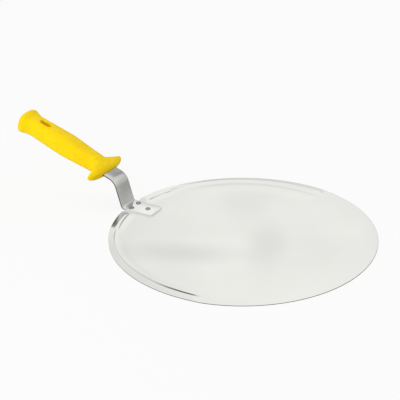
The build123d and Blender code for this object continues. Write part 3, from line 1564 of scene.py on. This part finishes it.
@dataclass(frozen=True)
class Wall:
    """A soft-edged darker wall of the studio, which only shows mirrored in metal.

    Angles are in degrees. The wall's middle is at an azimuth from +X towards +Y. It has its full
    darkness up to one angle from there and ends at another. With a top, it also ends upwards,
    between two elevations.
    """

    azimuth: float
    reach: float
    full: float
    level: float
    top: Range | None = None

    def brightness(self, board: NodeBoard, direction: Socket, height: Socket) -> Socket:
        """Adds the nodes for the wall.

        Args:
            board: The board to add the nodes to.
            direction: The ray's direction.
            height: The direction's Z.

        Returns:
            The wall's level, 1 away from it.
        """
        turn = radians(self.azimuth)
        level_ray = board.math("MULTIPLY", direction, (1, 1, 0), kind="VectorMath", result="Vector")
        unit_ray = board.math("NORMALIZE", level_ray, kind="VectorMath", result="Vector")
        toward = board.math("DOT_PRODUCT", unit_ray, (cos(turn), sin(turn), 0), kind="VectorMath")
        wall = board.spread(toward, cos(radians(self.reach)), cos(radians(self.full)), 1.0, self.level)
        if self.top is None:
            return wall
        return board.math("MAXIMUM", board.spread(height, *sines(self.top), 0.0, 1.0), wall)


@dataclass(frozen=True)
class Lamp:
    """A square soft box, sized in metres, with its power in watts. Metal doesn't mirror it."""

    name: str
    place: Place
    size: float
    power: float

    def hang(self, target: Place) -> None:
        """Hangs the lamp.

        Args:
            target: Where it shines.
        """
        data = bpy.data.lights.new(self.name, "AREA")
        data.shape = "SQUARE"
        data.size = self.size
        data.energy = self.power
        lamp = bpy.data.objects.new(self.name, data)
        lamp.visible_glossy = False
        turned = (Vector(target) - Vector(self.place)).to_track_quat("-Z", "Y").to_matrix().to_4x4()
        lamp.matrix_world = Matrix.Translation(self.place) @ turned
        bpy.context.scene.collection.objects.link(lamp)


@dataclass
class Studio:
    """Camera, soft lights, white floor and world."""

    azimuth: float = 31.5
    elevation: float = 26.5
    roll: float = 0.88
    distance: float = 1447.5 * MM
    aim_right: float = 45.5 * MM
    aim_up: float = -40.6 * MM
    lens: float = 117.72
    floor_size: float = 8.0
    floor_gap: float = 0.1 * MM
    floor_white: float = 0.78
    floor_glow: float = 0.87
    floor_mirrored: float = 0.42
    dome_strength: float = 0.69
    sky_level: float = 1.0
    low_sky: float = 0.74
    low_sky_rise: Range = (12.0, 31.0)
    walls: tuple[Wall, ...] = (
        Wall(azimuth=92.0, reach=22.0, full=4.0, level=0.43, top=(47.0, 52.0)),
        Wall(azimuth=52.0, reach=36.0, full=20.0, level=0.9),
        Wall(azimuth=150.0, reach=30.0, full=16.0, level=0.86),
    )
    dark_wall: Wall = Wall(azimuth=118.0, reach=30.0, full=18.0, level=0.06, top=(11.0, 14.0))
    lamps: tuple[Lamp, ...] = (
        Lamp(name="key", place=(-0.5, -1.3, 0.6), size=1.2, power=10.0),
        Lamp(name="fill", place=(0.2, 0.6, 1.6), size=1.6, power=5.0),
    )
    lamp_target: Place = (-0.1, 0.0, 0.03)

    def place_camera(self) -> None:
        """Adds the camera at its view of the blade's middle."""
        turn, tilt, roll = radians(self.azimuth), radians(self.elevation), radians(self.roll)
        right = Vector((cos(turn), sin(turn), 0))
        up = Vector((-sin(turn) * sin(tilt), cos(turn) * sin(tilt), cos(tilt)))
        ahead = Vector((-sin(turn) * cos(tilt), cos(turn) * cos(tilt), -sin(tilt)))
        place = -right * self.aim_right - up * self.aim_up - ahead * self.distance
        rolled_right = right * cos(roll) - up * sin(roll)
        rolled_up = right * sin(roll) + up * cos(roll)
        data = bpy.data.cameras.new("camera")
        data.lens = self.lens
        camera = bpy.data.objects.new("camera", data)
        turned = Matrix((rolled_right, rolled_up, -ahead)).transposed().to_4x4()
        camera.matrix_world = Matrix.Translation(place) @ turned
        bpy.context.scene.collection.objects.link(camera)
        bpy.context.scene.camera = camera

    def seen(self, board: NodeBoard) -> tuple[Socket, Socket]:
        """Whether a ray is the camera's, and whether it is a mirrored or see-through one.

        Args:
            board: The board to add the nodes to.

        Returns:
            The camera's share and the shiny share, each 0 or 1.
        """
        path = board.add("LightPath").outputs
        shiny = board.math("MAXIMUM", path["Is Glossy Ray"], path["Is Transmission Ray"])
        return path["Is Camera Ray"], shiny

    def dome(self, board: NodeBoard) -> Socket:
        """What metal mirrors of the studio: a sky that is darker near the floor, and the walls.

        Args:
            board: The board to add the nodes to.

        Returns:
            The brightness in the ray's direction.
        """
        direction = board.add("TexCoord").outputs["Generated"]
        height = board.add("SeparateXYZ", {"Vector": direction}).outputs["Z"]
        sky = board.spread(height, *sines(self.low_sky_rise), self.low_sky, self.sky_level)
        levels = [wall.brightness(board, direction, height) for wall in self.walls]
        walls = reduce(lambda first, second: board.math("MINIMUM", first, second), levels)
        dark = self.dark_wall.brightness(board, direction, height)
        return board.math("MULTIPLY", board.math("MULTIPLY", walls, sky), dark)

    def light_world(self) -> None:
        """Makes the world: white to the camera, even light on matte things, and the dome in metal."""
        world = bpy.data.worlds.new("studio")
        world.use_nodes = True
        bpy.context.scene.world = world
        board = NodeBoard(world.node_tree)
        camera, shiny = self.seen(board)
        matte = board.math("SUBTRACT", 1.0, board.math("MAXIMUM", camera, shiny))
        soft = board.math("MULTIPLY", matte, self.dome_strength)
        mirrored = board.math("MULTIPLY", shiny, self.dome(board))
        strength = board.math("ADD", board.math("ADD", soft, mirrored), camera)
        board.show(board.add("Background", {"Color": WHITE, "Strength": strength}), "World")

    def lay_floor(self) -> None:
        """Lays the white floor that the peel rests on and that keeps its shadow."""
        floor = new_piece(
            "floor", bpy.ops.mesh.primitive_plane_add, size=self.floor_size, location=(0, 0, -self.floor_gap)
        )
        material, board = new_material("floor_white")
        camera, shiny = self.seen(board)
        glow = board.math("MULTIPLY", board.math("MAXIMUM", camera, shiny), self.floor_glow)
        matte = board.add("BsdfDiffuse", {"Color": rgba((self.floor_white,) * 3)})
        brightness = board.spread(shiny, 0.0, 1.0, 1.0, self.floor_mirrored)
        lit = board.add("Emission", {"Color": WHITE, "Strength": brightness})
        mixed = board.add("MixShader", {"Fac": glow})
        for socket, shader in zip(list(mixed.inputs)[1:], (matte, lit)):
            board.feed(socket, shader.outputs[0])
        board.show(mixed)
        floor.data.materials.append(material)

    def build(self) -> None:
        """Sets up the whole studio."""
        self.place_camera()
        self.light_world()
        self.lay_floor()
        for lamp in self.lamps:
            lamp.hang(self.lamp_target)
        bpy.context.scene.view_settings.view_transform = "Standard"


def main() -> None:
    """Builds the peel and its studio."""
    logging.basicConfig(level=logging.INFO, format="%(name)s: %(message)s")
    Studio().build()
    rivets = Rivets()
    blade = Blade().build(rivets.places())
    # The cut edge's dark finish is partly painted shade
    cut_edge_and_shade = SHEARED_STEEL_AND_SHADE.build()
    deliver(blade, [BLADE_STEEL.build(), cut_edge_and_shade], "blade_steel", "blade")
    shank = Shank()
    shank_finishes = [SHANK_STEEL.build(), cut_edge_and_shade, MILL_STEEL_AND_SHADE.build(), TAB_STEEL_LIGHTENED.build()]
    deliver(shank.build(), shank_finishes, "shank_steel", "shank")
    # The rivets' dark finish is painted shade
    rivet_finish = RIVET_STEEL_SHADED.build()
    for rivet in rivets.build():
        deliver(rivet, [rivet_finish], "rivet_steel", "rivets")
    deliver(Grip().build(shank), [GRIP_PLASTIC.build()], "grip_plastic", "grip")


if __name__ == "__main__":
    main()
